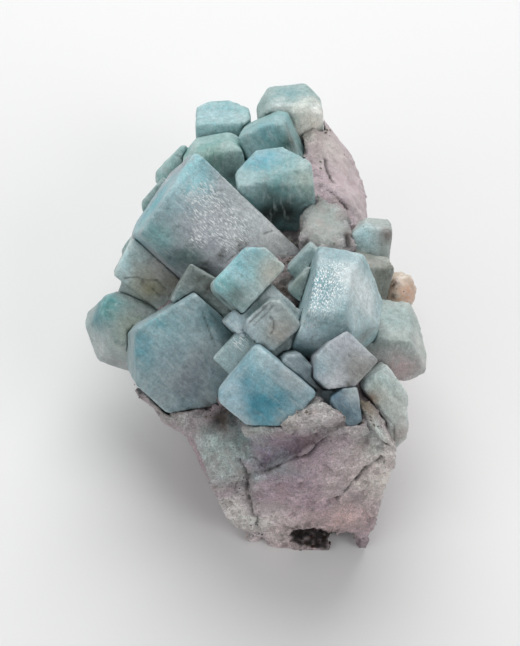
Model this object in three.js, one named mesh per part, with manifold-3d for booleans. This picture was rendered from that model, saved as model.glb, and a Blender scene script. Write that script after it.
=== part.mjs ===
// An amazonite crystal cluster: blocky blue-green feldspar crystals on the broken lump of pink feldspar
// rock that they grew from, standing on the flat it was trimmed to. Millimetres, +Z up.
import * as THREE from "three";
import { ConvexGeometry } from "three/addons/geometries/ConvexGeometry.js";
import { mergeVertices } from "three/addons/utils/BufferGeometryUtils.js";
import Module from "manifold-3d";

const wasm = await Module();
wasm.setup();

// Driving dimensions
const FACE_RISE = 50; // degrees that the crystal-bearing face looks up above the horizon
const FACE_CENTRE = [0, 0, 20]; // middle of that face, over the middle of the base
const SEAM = 0.32; // open seam between two pieces that grew against each other
const ROCK_FACET = 5; // longest edge of a broken facet on the rock
const ROCK_LUMP = 5; // spacing of the lumps on the rock
const ROCK_RELIEF = 0.9; // how far a lump stands out or in
const FOOT_SIZE = 200; // side of the block that trims the rock off flat below z = 0
const POCKET = { radii: [3.9, 3.2, 2.7], at: [8.5, -31.6, 3.6] }; // hollow low in the rock's front
const NOTCH = { radii: [2.5, 5, 4.4], at: [13.3, -31.5, 0] }; // broken out of the foot beside it
const QUARTZ = { radii: [3, 3.4, 3.6], at: [22.9, 3.4, 24] }; // grain in the right-hand edge
const ROUNDNESS = 2; // subdivisions of the ball that these three are made from

// Distances, in millimetres, under which points are one, and a point lies on a plane
const WELD = 1e-4;
const ROCK_WELD = 1e-3;
const TOUCH = 1e-6;

// The growth face: u runs right along it, v runs up it and w stands out from it.
const rise = THREE.MathUtils.degToRad(FACE_RISE);
const growthFace = new THREE.Matrix4()
  .makeBasis(
    new THREE.Vector3(1, 0, 0),
    new THREE.Vector3(0, Math.sin(rise), Math.cos(rise)),
    new THREE.Vector3(0, -Math.cos(rise), Math.sin(rise)),
  )
  .setPosition(...FACE_CENTRE);

// Solids and meshes
function solidOf(geometry) {
  const bare = geometry.clone();
  bare.deleteAttribute("normal");
  bare.deleteAttribute("uv");
  const merged = mergeVertices(bare, WELD);
  return new wasm.Manifold(
    new wasm.Mesh({
      numProp: 3,
      vertProperties: merged.attributes.position.array,
      triVerts: new Uint32Array(merged.index.array),
    }),
  );
}

function geometryOf(solid) {
  const { vertProperties, triVerts } = solid.getMesh();
  const geometry = new THREE.BufferGeometry();
  geometry.setAttribute("position", new THREE.BufferAttribute(vertProperties, 3));
  geometry.setIndex(new THREE.BufferAttribute(triVerts, 1));
  const flat = geometry.toNonIndexed();
  flat.computeVertexNormals();
  return flat;
}

const join = (solids) => solids.reduce((a, b) => a.add(b));
const largest = (solid) => solid.decompose().reduce((a, b) => (a.volume() > b.volume() ? a : b));

// A crystal is a block, given by thickness, width and length, that points along aim: an angle in the growth
// face, counted from u towards v, and a lift out of it. Roll turns the block about its length, and at is
// the middle of its free end. Its six sides have letters: e the free end, b the base, u and d the upper and
// lower side, r and l the right and left. A cut names the sides that it bevels, with its reach along each.
const SIDES = {
  e: new THREE.Vector3(0, 0, 1),
  b: new THREE.Vector3(0, 0, -1),
  u: new THREE.Vector3(1, 0, 0),
  d: new THREE.Vector3(-1, 0, 0),
  r: new THREE.Vector3(0, 1, 0),
  l: new THREE.Vector3(0, -1, 0),
};

function crystalPlanes({ size: [thick, wide, long], cuts = {} }) {
  const reach = { e: 0, b: long, u: thick / 2, d: thick / 2, r: wide / 2, l: wide / 2 };
  const planes = Object.keys(SIDES).map((side) => new THREE.Plane(SIDES[side], -reach[side]));
  for (const [sides, setbacks] of Object.entries(cuts)) {
    const normal = new THREE.Vector3();
    let distance = -1;
    [...sides].forEach((side, i) => {
      normal.addScaledVector(SIDES[side], 1 / setbacks[i]);
      distance += reach[side] / setbacks[i];
    });
    const scale = 1 / normal.length();
    planes.push(new THREE.Plane(normal.multiplyScalar(scale), -distance * scale));
  }
  return planes;
}

// The corners where three planes meet, inside all the others.
function cornersOf(planes) {
  const corners = [];
  const matrix = new THREE.Matrix3();
  for (let i = 0; i < planes.length; i++)
    for (let j = i + 1; j < planes.length; j++)
      for (let k = j + 1; k < planes.length; k++) {
        const [p, q, s] = [planes[i], planes[j], planes[k]];
        matrix.set(...p.normal.toArray(), ...q.normal.toArray(), ...s.normal.toArray());
        if (Math.abs(matrix.determinant()) < TOUCH) continue;
        const point = new THREE.Vector3(-p.constant, -q.constant, -s.constant).applyMatrix3(matrix.invert());
        if (planes.every((plane) => plane.distanceToPoint(point) < TOUCH)) corners.push(point);
      }
  return corners;
}

function crystalFrame({ at, aim: [angle, lift], roll }) {
  const turn = THREE.MathUtils.degToRad(angle);
  const up = THREE.MathUtils.degToRad(lift);
  const spin = THREE.MathUtils.degToRad(roll);
  const heading = new THREE.Vector3(Math.cos(turn), Math.sin(turn), 0);
  const outwards = new THREE.Vector3(0, 0, 1);
  const length = heading.clone().multiplyScalar(Math.cos(up)).addScaledVector(outwards, Math.sin(up));
  const upper = outwards.multiplyScalar(Math.cos(up)).addScaledVector(heading, -Math.sin(up));
  upper.applyAxisAngle(length, spin);
  const right = new THREE.Vector3().crossVectors(length, upper);
  return new THREE.Matrix4().makeBasis(upper, right, length).setPosition(...at).premultiply(growthFace);
}

// One crystal's convex solid in the part's frame, grown outwards by spare on every side.
function crystalSolid(crystal, spare = 0) {
  const planes = crystalPlanes(crystal);
  for (const plane of planes) plane.constant -= spare;
  return solidOf(new ConvexGeometry(cornersOf(planes)).applyMatrix4(crystalFrame(crystal)));
}

// The crystals. Each keeps clear of those listed before it, and blocks that share a name grew into one.
const BLUE = "#6fa9b5";
const TEAL = "#7ba6a6";
const GREY = "#98a3a6";
const PALE = "#a9b8ae";
const SATIN = { roughness: 0.45, metalness: 0 };
const GLASSY = { color: "#c3a593", roughness: 0.3, metalness: 0 };
const BROKEN = { color: "#a3929b", roughness: 0.75, metalness: 0 };

const CRYSTALS = [
  {
    name: "crystal_front",
    colour: BLUE,
    at: [-3.5, -6.9, 24.6],
    aim: [141, 3],
    roll: -2,
    size: [9, 9.8, 11],
    cuts: { el: [0.7, 0.9], er: [0.5, 0.5], eu: [0.6, 1.1], bl: [5, 4] },
  },
  {
    name: "crystal_centre",
    colour: BLUE,
    at: [-4.4, 9.1, 18.3],
    aim: [137, 3],
    roll: 8,
    size: [7, 9.5, 6.3],
    cuts: { er: [2.2, 2.1], eu: [0.5, 0.5], el: [0.8, 0.7] },
  },
  {
    name: "crystal_bright",
    colour: TEAL,
    at: [13.2, 6.4, 23],
    aim: [78, 55],
    roll: 0,
    size: [14.5, 12.6, 12],
    cuts: {
      edl: [2.8, 6.2, 35],
      eur: [1.4, 1.9, 12.6],
      er: [8, 6],
      el: [14, 1.4],
      dr: [4, 4.5],
      ur: [6, 4.4],
    },
  },
  {
    name: "crystal_left_front",
    colour: TEAL,
    at: [-18.2, 0.8, 11],
    aim: [138, 6],
    roll: 0,
    size: [14, 16.3, 17],
    cuts: { er: [3.2, 10], elu: [5.7, 6.3, 40], bur: [13, 5, 5], bl: [5, 6] },
  },
  {
    name: "crystal_left_outer",
    colour: TEAL,
    at: [-27.4, 0.7, 1],
    aim: [160, 18],
    roll: 25,
    size: [10, 9.5, 16],
    cuts: { ur: [2, 2.5], el: [3.2, 4], er: [2, 2], edl: [4, 6, 6] },
  },
  {
    name: "crystal_large",
    colour: GREY,
    at: [-16.8, 21.5, 2.2],
    aim: [137, 13],
    roll: 11,
    size: [12, 15.8, 28],
    cuts: { el: [1.9, 15.8], eu: [1, 1], bul: [26, 9, 9], edl: [4, 8, 5], edr: [3, 7, 3] },
  },
  {
    name: "crystal_upper_right",
    colour: TEAL,
    at: [2, 26, 1],
    aim: [98, 44],
    roll: 0,
    size: [9, 12.4, 12],
    cuts: { dl: [5, 4], dr: [5, 4], eur: [2, 3, 9] },
  },
  {
    name: "crystal_front_right",
    colour: GREY,
    at: [9.1, -3.8, 23.3],
    aim: [137, 2],
    roll: 5,
    size: [8, 8, 7],
    cuts: { el: [2, 2.4], er: [0.8, 3], bl: [2.5, 3] },
  },
  {
    name: "crystal_front_slab",
    colour: PALE,
    at: [-5, -2.9, 16.5],
    aim: [136, 4],
    roll: 0,
    size: [7, 6.3, 9],
  },
  {
    name: "crystal_front_wedge",
    colour: GREY,
    at: [2.6, -5.9, 21.5],
    aim: [135, 8],
    roll: 0,
    size: [7, 6.5, 10],
    cuts: { er: [1, 1.5] },
  },
  {
    name: "crystal_front_small",
    colour: BLUE,
    at: [11.6, -9.9, 24.4],
    aim: [125, 3],
    roll: 0,
    size: [6, 4.6, 5.4],
    cuts: { el: [1, 0.8], er: [0.8, 1.2], br: [4.2, 2.2] },
  },
  {
    name: "crystals_centre_slabs",
    colour: GREY,
    at: [-2.6, 3.5, 17.4],
    aim: [137, 5],
    roll: 5,
    size: [6, 8.8, 10],
  },
  {
    name: "crystals_centre_slabs",
    colour: GREY,
    at: [-0.3, 2.4, 19],
    aim: [131, 8],
    roll: -5,
    size: [7, 6.6, 6],
    cuts: { er: [1, 1], el: [1.5, 1] },
  },
  {
    name: "crystals_inner_slabs",
    colour: PALE,
    at: [6.2, 10.7, 9.5],
    aim: [137, 5],
    roll: -8,
    size: [7, 5.3, 8],
  },
  {
    name: "crystals_inner_slabs",
    colour: PALE,
    at: [6.1, 7.4, 11.5],
    aim: [137, 5],
    roll: -8,
    size: [7, 5, 7],
  },
  {
    name: "crystal_left_gap",
    colour: GREY,
    at: [-12.8, 6.6, 6.5],
    aim: [150, 5],
    roll: 0,
    size: [7, 6.5, 9],
  },
  {
    name: "crystals_left_back",
    colour: TEAL,
    at: [-23, 12.4, -2],
    aim: [142, 8],
    roll: 0,
    size: [9, 8.2, 16],
    cuts: { el: [1.6, 8.2] },
  },
  {
    name: "crystals_left_back",
    colour: TEAL,
    at: [-23.2, 6, -2.2],
    aim: [160, 5],
    roll: 0,
    size: [6, 4, 14],
  },
  {
    name: "crystal_right",
    colour: PALE,
    at: [21.8, 0.4, 10.4],
    aim: [82, 35],
    roll: 0,
    size: [11, 13.6, 7.6],
    cuts: { er: [7.4, 4.9], el: [2, 2], br: [3.3, 4.2], dr: [9, 3.5] },
  },
  {
    name: "crystals_right_low",
    colour: PALE,
    at: [17.1, -7.7, 17],
    aim: [125, 5],
    roll: 0,
    size: [8, 4.9, 9.8],
    cuts: { br: [5, 3], el: [0.6, 1], eu: [0.5, 0.8] },
  },
  {
    name: "crystals_right_low",
    colour: PALE,
    at: [20.8, -15.2, 16.7],
    aim: [85, 3],
    roll: 0,
    size: [7.2, 3, 3.4],
    cuts: { br: [1.4, 1.4] },
  },
  {
    name: "crystal_back_right",
    colour: GREY,
    at: [18.4, 16.4, 1],
    aim: [85, 20],
    roll: 0,
    size: [6, 6.5, 8.4],
    cuts: { dl: [2, 2.5], el: [1.8, 2], er: [0.5, 0.6] },
  },
  {
    name: "crystal_right_back",
    colour: PALE,
    at: [17.2, 11.2, 3],
    aim: [80, 30],
    roll: 15,
    size: [9, 7.5, 11],
  },
  {
    name: "crystal_top_centre",
    colour: TEAL,
    at: [0.3, 34.9, -13],
    aim: [116, 18],
    roll: -18,
    size: [8.5, 8.2, 12],
    cuts: { er: [1, 1.5] },
  },
  {
    name: "crystal_top_right",
    colour: TEAL,
    at: [5.1, 40.3, -19],
    aim: [95, 35],
    roll: 0,
    size: [10, 11.5, 14],
    cuts: { dl: [3, 2.5], dr: [3, 2.5], er: [1.8, 2.2], el: [2.2, 2.2], eu: [1.2, 1.6], bur: [13, 8, 9] },
  },
  {
    name: "crystal_top_left",
    colour: BLUE,
    at: [-6.6, 37.7, -20],
    aim: [92, 35],
    roll: 0,
    size: [9.5, 9.6, 13],
    cuts: { dl: [2.2, 2.2], dr: [3.2, 3.6] },
  },
  {
    name: "crystal_top_side",
    colour: TEAL,
    at: [-8.8, 31.4, -13],
    aim: [102, 25],
    roll: 0,
    size: [9, 10.4, 10],
    cuts: { el: [2.6, 3], er: [1.2, 1.6], eu: [1, 1.4] },
  },
  {
    name: "crystal_back_left_top",
    colour: TEAL,
    at: [-16.5, 28.9, -20],
    aim: [135, 10],
    roll: 0,
    size: [8, 8, 12],
    cuts: { el: [1.4, 1.2], eu: [0.8, 0.8] },
  },
  {
    name: "crystal_back_left_mid",
    colour: TEAL,
    at: [-19.1, 22.9, -15],
    aim: [140, 5],
    roll: 0,
    size: [8, 6.6, 12],
    cuts: { el: [1, 1] },
  },
  {
    name: "crystal_back_left_low",
    colour: TEAL,
    at: [-22.7, 13.7, -10.5],
    aim: [145, 3],
    roll: 0,
    size: [7, 5.2, 13],
    cuts: { el: [1, 1] },
  },
];

// The rock is made of blocks that parted along cleavages, each the hull of its corners.
const ROCK_BLOCKS = {
  lump: [
    [1, -30, -1], [17, -30, -1], [19.5, -20, -1], [20, -5, -1], [18, 12, -1], [12, 24, -1],
    [0, 26, -1], [-11, 20, -1], [-14, 6, -1], [-12, -6, -1], [-8, -17, -1], [-4, -25, -1],
    [-9, -26, 20], [-9.5, -27, 22], [-16, -14, 23], [-17, 0, 23], [-14, 10, 25], [0, 18, 28],
    [12, 18, 27], [19.4, 8, 24], [20, -6, 21.5], [20, -27, 25], [14, -28.6, 29], [2, -28.6, 27],
  ],
  back: [
    [-14, 10, 4], [-12, 32, 8], [2, 40, 6], [14, 34, 5], [18, 18, 3],
    [-15, 18, 20], [-11, 37, 20], [2, 45, 20], [11, 44, 21], [15, 32, 20], [17, 18, 24], [0, 16, 28],
  ],
  flank: [
    [8.4, 32, 29.5], [11, 44, 26], [5, 38.5, 27], [9.4, 38.8, 29.2], [12.5, 39, 25.5], [16.5, 39.5, 20],
    [17.6, 37.4, 18.8], [18.2, 31.8, 18],
    [19.3, 27.4, 19.5], [19.6, 23.9, 20.5], [19, 20.5, 21.5], [13.7, 22.6, 26.5], [8, 20, 29.5], [8, 30, 14],
    [16, 36, 10], [17, 20, 12], [8, 44, 16],
  ],
  slab: [
    [-2, -31, 20], [1.2, -31, 22.5], [4.5, -31, 24.6], [8.8, -31, 28.2], [10.8, -31, 32], [15, -30.6, 32],
    [20.3, -30.4, 27.2], [19, -30.6, 18], [18.5, -30.8, 9], [17.2, -31, 6], [16.8, -31, -1], [1.2, -31, -1],
    [-0.6, -31, 9], [-1.8, -31, 17], [0, -24, -1], [17, -24, -1], [18, -24, 26], [0, -24, 20],
  ],
  cap: [
    [-2, -29.2, 30], [1, -30, 32.5], [6, -30.6, 33.8], [10.5, -30.4, 33.6], [12.3, -29.4, 32.6], [9.5, -27.6, 32.6],
    [4, -24, 34], [-2, -24, 32], [0, -28.4, 25], [13, -28.6, 29], [13, -22, 28], [-2, -20, 26],
  ],
  rim: [
    [-10.4, -24.8, 21], [-9.6, -26.6, 21.5], [-8.8, -28, 19], [-8, -28, 15], [-7.3, -28, 12], [-5.2, -28.4, 9],
    [-4.1, -28.6, 5.5], [-3.4, -28.8, 2], [-1, -30.2, -1], [2, -30.4, 4], [0, -30, 22], [-4, -28.8, 26],
    [0, -22, 0], [-4, -20, 22],
  ],
  ledge: [
    [-19.8, -16.2, 23.6], [-15, -20.2, 22], [-10.6, -25, 22], [-6, -26.5, 24], [-5, -19, 23], [-13, -10, 25],
    [-19, -8, 24.6], [-17, -12, 18], [-9, -22, 15], [-6, -20, 16],
  ],
  shelf: [
    [-15, -12, 24], [-4, -18, 25], [8, -20, 29], [14.6, -14, 28.5], [16.6, 0, 26.5], [12, 8, 29], [0, 14, 30],
    [-10, 10, 26.5], [-14, 0, 25], [0, 0, 20],
  ],
  corner: [
    [15, -25.4, 30], [17.8, -23.7, 27.6], [19.8, -27.4, 25.1], [16, -29.2, 30.8], [15.3, -22.4, 29.9],
    [20.7, -28.5, 24.8], [14, -18, 20], [19, -20, 20], [19, -28, 15], [12, -28, 20],
  ],
  side: [
    [19.2, 4, 1], [16.5, 26, 3], [20.8, 8, 18], [18.8, 27, 15], [20, 8, 23], [16, 26, 22], [10, 10, 6], [10, 24, 8],
  ],
  rear: [
    [6.6, 5.6, 33.5], [6.8, 12.6, 32.5], [9.6, 16, 33.4], [14, 14, 31.6], [14.8, 7, 31], [12, 2, 29],
    [9, 4, 24], [15, 16, 24], [6, 18, 24], [17, 6, 24],
  ],
};

// A smooth random value from -1 to 1 at each point of space, for each of the three directions. The phases
// set each lump apart from its neighbours, and spread throws its value anywhere in that range.
const PHASES = { x: 127.1, y: 311.7, z: 74.7, channel: 53.3 };
const SPREAD = 43758.5453;

function lumpiness(x, y, z, channel) {
  const corner = (i, j, k) => {
    const wave = SPREAD * Math.sin(i * PHASES.x + j * PHASES.y + k * PHASES.z + channel * PHASES.channel);
    return 2 * (wave - Math.floor(wave)) - 1;
  };
  const [i, j, k] = [x, y, z].map(Math.floor);
  const [f, g, h] = [x - i, y - j, z - k].map((t) => t * t * (3 - 2 * t));
  const { lerp } = THREE.MathUtils;
  const row = (dj, dk) => lerp(corner(i, j + dj, k + dk), corner(i + 1, j + dj, k + dk), f);
  return lerp(lerp(row(0, 0), row(1, 0), g), lerp(row(0, 1), row(1, 1), g), h);
}

// Splits every edge that is longer than the limit, until none is left.
function subdivide(geometry, limit) {
  const merged = mergeVertices(geometry, ROCK_WELD);
  const points = [];
  for (let i = 0; i < merged.attributes.position.count; i++)
    points.push(new THREE.Vector3().fromBufferAttribute(merged.attributes.position, i));
  let faces = [];
  for (let i = 0; i < merged.index.count; i += 3)
    faces.push([merged.index.getX(i), merged.index.getX(i + 1), merged.index.getX(i + 2)]);
  for (let splits = 1; splits > 0; ) {
    const middles = new Map();
    const middle = (a, b) => {
      const key = a < b ? `${a} ${b}` : `${b} ${a}`;
      if (!middles.has(key) && points[a].distanceTo(points[b]) > limit) {
        middles.set(key, points.length);
        points.push(points[a].clone().lerp(points[b], 0.5));
      }
      return middles.get(key);
    };
    const next = [];
    for (const [a, b, c] of faces) {
      const halves = [middle(a, b), middle(b, c), middle(c, a)];
      const count = halves.filter((half) => half !== undefined).length;
      if (count === 0) {
        next.push([a, b, c]);
        continue;
      }
      // turn the face so that its split edges come first
      let [p, q, r] = [a, b, c];
      let [pq, qr, rp] = halves;
      while (pq === undefined || (count === 2 && qr === undefined)) {
        [p, q, r] = [q, r, p];
        [pq, qr, rp] = [qr, rp, pq];
      }
      if (count === 1) next.push([p, pq, r], [pq, q, r]);
      else if (count === 2) next.push([pq, q, qr], [p, pq, qr], [p, qr, r]);
      else next.push([p, pq, rp], [pq, q, qr], [rp, qr, r], [pq, qr, rp]);
    }
    faces = next;
    splits = middles.size;
  }
  const result = new THREE.BufferGeometry().setFromPoints(points);
  result.setIndex(faces.flat());
  return result;
}

// Moves each point by up to relief, in lumps the given spacing apart, counted from a corner far outside.
const FAR_CORNER = 40;

function roughen(geometry, spacing, relief) {
  const position = geometry.attributes.position;
  const point = new THREE.Vector3();
  for (let i = 0; i < position.count; i++) {
    point.fromBufferAttribute(position, i);
    const [x, y, z] = point.toArray().map((t) => t / spacing + FAR_CORNER);
    const [dx, dy, dz] = [0, 1, 2].map((channel) => relief * lumpiness(x, y, z, channel));
    position.setXYZ(i, point.x + dx, point.y + dy, point.z + dz);
  }
  return geometry;
}

// A rounded solid with a radius for each direction, grown outwards by spare.
function ballSolid({ radii, at }, spare = 0) {
  const ball = new THREE.IcosahedronGeometry(1, ROUNDNESS);
  ball.scale(...radii.map((radius) => radius + spare)).translate(...at);
  return solidOf(ball);
}

function rockBlock(corners) {
  const hull = new ConvexGeometry(corners.map((corner) => new THREE.Vector3(...corner)));
  hull.deleteAttribute("normal");
  return solidOf(roughen(subdivide(hull, ROCK_FACET), ROCK_LUMP, ROCK_RELIEF));
}

function rockSolid() {
  const foot = new THREE.BoxGeometry(FOOT_SIZE, FOOT_SIZE, FOOT_SIZE).translate(0, 0, -FOOT_SIZE / 2);
  const hollows = [ballSolid(POCKET), ballSolid(NOTCH), solidOf(foot)];
  return hollows.reduce((rest, hollow) => rest.subtract(hollow), join(Object.values(ROCK_BLOCKS).map(rockBlock)));
}

const group = new THREE.Group();
function addPiece(name, solid, material) {
  const mesh = new THREE.Mesh(geometryOf(solid), new THREE.MeshStandardMaterial(material));
  mesh.name = name;
  group.add(mesh);
}

const names = [...new Set(CRYSTALS.map((crystal) => crystal.name))];
const taken = [];
for (const name of names) {
  const blocks = CRYSTALS.filter((crystal) => crystal.name === name);
  const whole = join(blocks.map((block) => crystalSolid(block)));
  const clear = taken.reduce((rest, other) => rest.subtract(other), whole);
  addPiece(name, largest(clear), { color: blocks[0].colour, ...SATIN });
  taken.push(join(blocks.map((block) => crystalSolid(block, SEAM))));
}
const quartz = taken.reduce((rest, other) => rest.subtract(other), ballSolid(QUARTZ));
addPiece("quartz_grain", largest(quartz), GLASSY);
taken.push(ballSolid(QUARTZ, SEAM));
const rock = taken.reduce((rest, other) => rest.subtract(other), rockSolid());
addPiece("matrix", largest(rock), BROKEN);

export default group;
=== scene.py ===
import math

import bmesh
import bpy
import numpy as np
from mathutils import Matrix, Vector, noise
from mathutils.bvhtree import BVHTree


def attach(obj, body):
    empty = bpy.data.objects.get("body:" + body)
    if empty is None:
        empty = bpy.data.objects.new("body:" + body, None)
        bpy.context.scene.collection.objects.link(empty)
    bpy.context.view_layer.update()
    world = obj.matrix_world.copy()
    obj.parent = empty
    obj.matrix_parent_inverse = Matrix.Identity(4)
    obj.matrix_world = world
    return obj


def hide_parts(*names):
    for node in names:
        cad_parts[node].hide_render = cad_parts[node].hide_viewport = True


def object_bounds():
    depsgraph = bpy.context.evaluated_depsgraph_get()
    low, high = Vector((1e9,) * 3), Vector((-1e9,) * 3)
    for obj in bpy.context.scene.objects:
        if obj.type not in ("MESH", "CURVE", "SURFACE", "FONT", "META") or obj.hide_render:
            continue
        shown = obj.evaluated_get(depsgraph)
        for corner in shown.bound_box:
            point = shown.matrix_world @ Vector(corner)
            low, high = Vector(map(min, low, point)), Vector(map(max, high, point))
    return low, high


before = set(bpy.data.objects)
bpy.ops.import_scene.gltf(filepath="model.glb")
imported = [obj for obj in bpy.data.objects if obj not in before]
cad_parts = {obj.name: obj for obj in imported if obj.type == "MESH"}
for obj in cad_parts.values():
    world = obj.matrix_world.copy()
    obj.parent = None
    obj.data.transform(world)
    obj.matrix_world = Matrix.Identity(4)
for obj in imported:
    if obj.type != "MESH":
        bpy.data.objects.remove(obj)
cad_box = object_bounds()
MM = 0.001

# The camera. The photograph looks down on the specimen at about 50 degrees, from hand's reach. Places on
# the specimen that the photograph shows are named below by their pixel in its frame of 520 by 646.
PHOTO_WIDE, PHOTO_HIGH = 520, 646
# the sensor and the lens, and how far the eye is from the point that it looks at, in millimetres
SENSOR, LENS = 36, 81.06
LOOK_DOWN = math.radians(50)
REACH, AIM = 240, Vector((0, 0, 20))
NEAREST_SEEN = 10

sight = Vector((0, math.cos(LOOK_DOWN), -math.sin(LOOK_DOWN)))
up_frame = Vector((0, math.sin(LOOK_DOWN), math.cos(LOOK_DOWN)))
eye = AIM - REACH * sight
camera = bpy.data.objects.new("camera", bpy.data.cameras.new("camera"))
camera.data.lens = LENS
camera.data.sensor_width = SENSOR
camera.data.clip_start = NEAREST_SEEN * MM
camera.location = eye * MM
camera.rotation_euler = sight.to_track_quat("-Z", "Y").to_euler()
bpy.context.scene.collection.objects.link(camera)
bpy.context.scene.camera = camera


def corners_and_faces(names):
    """The CAD nodes' vertices in millimetres and their triangles, as one list of each."""
    points, faces = [], []
    for name in names:
        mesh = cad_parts[name].data
        faces += [[len(points) + i for i in face.vertices] for face in mesh.polygons]
        points += [vertex.co / MM for vertex in mesh.vertices]
    return points, faces


everything = BVHTree.FromPolygons(*corners_and_faces(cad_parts))


def seen_at(x, y):
    """The point of the specimen, in millimetres, that the photograph shows at a pixel."""
    focal = LENS / SENSOR * PHOTO_HIGH
    ray = sight + Vector((1, 0, 0)) * (x - PHOTO_WIDE / 2) / focal - up_frame * (y - PHOTO_HIGH / 2) / focal
    return np.array(everything.ray_cast(eye, ray)[0])


# The matrix: a lump of coarse pink feldspar rock, broken off its vein along cleavages and trimmed flat
# underneath. Its breaks are granular, with pale blue-green rims where it turns to amazonite, and dark
# cracks along the cleavages.
ROCK_GROUND, ROCK_GREEN = "#c4b2b9", "#c3d0ca"
# how fine its skin's faces are, in millimetres, and how many rounds of softening its edges get
ROCK_GRID, ROCK_SOFTENING = 0.4, 2
# the height of its relief, in millimetres: the breaks, from coarse to fine, the ripples of the bare flank,
# the pits, the groove round each crystal, and the coarser breaks of the sides that the photo doesn't show
COARSE_BREAK, FINE_BREAK, LUMP = 0.38, 0.2, 0.1
FLANK_RIPPLE, PIT, SEAM_GROOVE = 0.09, 0.4, 0.12
SIDE_BREAK, SIDE_FINE_BREAK, SIDE_SET_BACK = 0.7, 0.3, 0.3
# the flank's ripples run this way, 7 mm long and 1.5 mm apart
RIPPLE_TURN, RIPPLE_SIZE = [(0.8, 0, 0.6), (0, 1, 0), (-0.6, 0, 0.8)], (1.5, 7, 1.5)
# the resting face is left flat up to this height
FLAT_BASE = 0.25
# how far a point stands out of its neighbours where an edge starts to be worn, and is fully, and how far it
# lies below them where a dent starts to hold dirt, and is full
WORN_EDGE, DIRTY_DENT = (0.02, 0.08), (0.04, 0.135)
# how far the groove and the dirt reach out of a crystal's seam, and how far a crack strays, in millimetres
GROOVE_REACH, DIRT_REACH, CRACK_STRAYS = 0.5, 0.7, 0.15
# how ragged the rims of the hollow and the notch are, as a share of their size
RAGGED_RIM = 0.14
# each patch of another colour, some of them painted light or painted shade as marked: the pixel it is seen
# at, its reach in millimetres and its colour
ROCK_PATCHES = {
    "mauve face": ((300, 500), 9, "#bea5b1"),
    "pink foot": ((285, 530), 6, "#fbe6e6"),
    "right of the face": ((345, 480), 5.5, "#cfbcc1"),
    "right foot": ((345, 518), 4, "#ebccc9"),
    # the three recess patches are darker mauve: painted shade under the crystals that overhang the recess
    "recess": ((290, 440), 5, "#927c8c"),
    "recess, right": ((320, 430), 3, "#97828e"),
    "recess, left": ((260, 450), 4, "#9e8aa6"),
    "under the ledge": ((282, 471), 2.5, "#adb2ba"),
    # the right block and the pale block are painted near white: painted light on faces that turn away from
    # the lamps
    "right block": ((388, 480), 6, "#fdf4ec"),
    "pale block": ((380, 455), 4, "#fff8f2"),
    "pale block, top": ((378, 430), 2.5, "#e6f0ea"),
    "grey groove": ((371, 436), 1.6, "#979c99"),
    "stained facet": ((365, 405), 2, "#ac9f86"),
    "left rim": ((225, 470), 4.5, "#c8d4d1"),
    "left rim, top": ((232, 440), 4, "#b2c8c4"),
    # painted near white: painted light on the rim's foot, which turns down and away from the lamps
    "left rim, foot": ((245, 520), 5, "#fffdf8"),
    "left rim, upper": ((212, 445), 3.5, "#c6d8d4"),
    "left rim, strip": ((233, 506), 2.2, "#ece8e4"),
    "below the front crystal": ((255, 428), 3, "#c9d3ce"),
    "below it, right": ((288, 416), 2.4, "#d6d2cb"),
    "left edge": ((165, 402), 4, "#c2c6c0"),
    "cap": ((320, 405), 4.5, "#d6d4d1"),
    # painted near black: a painted shadow in the corner under the broad crystal's overhang
    "corner under the broad crystal": ((219, 418), 2.6, "#231e1f"),
    "flank, top": ((335, 150), 6, "#d6cdc8"),
    "flank": ((350, 190), 6, "#d9c8cc"),
    "flank, foot": ((362, 215), 5, "#c6babc"),
    "neck": ((308, 135), 3, "#d0c9c0"),
    "rear lump": ((330, 220), 5, "#b0b9b4"),
    "rear lump, tip": ((318, 205), 3, "#a8b5b0"),
    "rear lump, foot": ((320, 235), 4, "#aeb5b0"),
    "gap beside the large crystal": ((285, 235), 3, "#9a9a97"),
    "between the inner slabs": ((285, 285), 4, "#8c8b86"),
}
# where the rock is smooth, the bare flank at the upper right and the lump in front of it: the pixel and the
# reach in millimetres
SMOOTH = {
    "flank, upper": ((335, 140), 6), "flank, middle": ((345, 165), 9), "flank, lower": ((355, 195), 8),
    "rear lump": ((325, 222), 4),
}
# each crack: the pixels along it, its depth and its width in millimetres
ROCK_CRACKS = {
    "ledge": ([(249, 477), (270, 469), (290, 461), (310, 455), (325, 440), (340, 424)], 0.6, 0.34),
    "slab": ([(337, 500), (354, 482), (370, 466), (382, 458)], 0.35, 0.22),
    "gouge": ([(326, 160), (328, 168), (331, 176), (334, 182)], 0.5, 0.4),
    "flank": ([(327, 189), (338, 199), (347, 208)], 0.3, 0.2),
    "shoulder": ([(378, 411), (385, 418), (393, 425), (392, 441)], 0.5, 0.3),
    "groove": ([(361, 411), (368, 422), (369, 429), (366, 445)], 0.5, 0.35),
    "right back": ([(347, 235), (349, 246)], 0.8, 0.5),
    # these two crevices are coloured as black cracks: painted shade deep in the crevices
    "crevice below the upper crystal": ([(297, 208), (291, 220), (285, 231)], 0.6, 0.8),
    "crevice at the neck": ([(300, 137), (303, 152)], 0.5, 0.6),
    "left rim": ([(240, 460), (247, 477), (247, 495), (255, 517), (265, 540)], 0.35, 0.28),
}
# the hollow low in the front, lined with brown iron-stained grains, and the notch beside it: the middle of
# each and its half sizes, in millimetres
HOLLOW, HOLLOW_SIZE = (8.5, -31.6, 3.6), (3.9, 3.2, 2.7)
NOTCH, NOTCH_SIZE = (13.3, -31.5, 0), (2.5, 5, 4.4)
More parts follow.
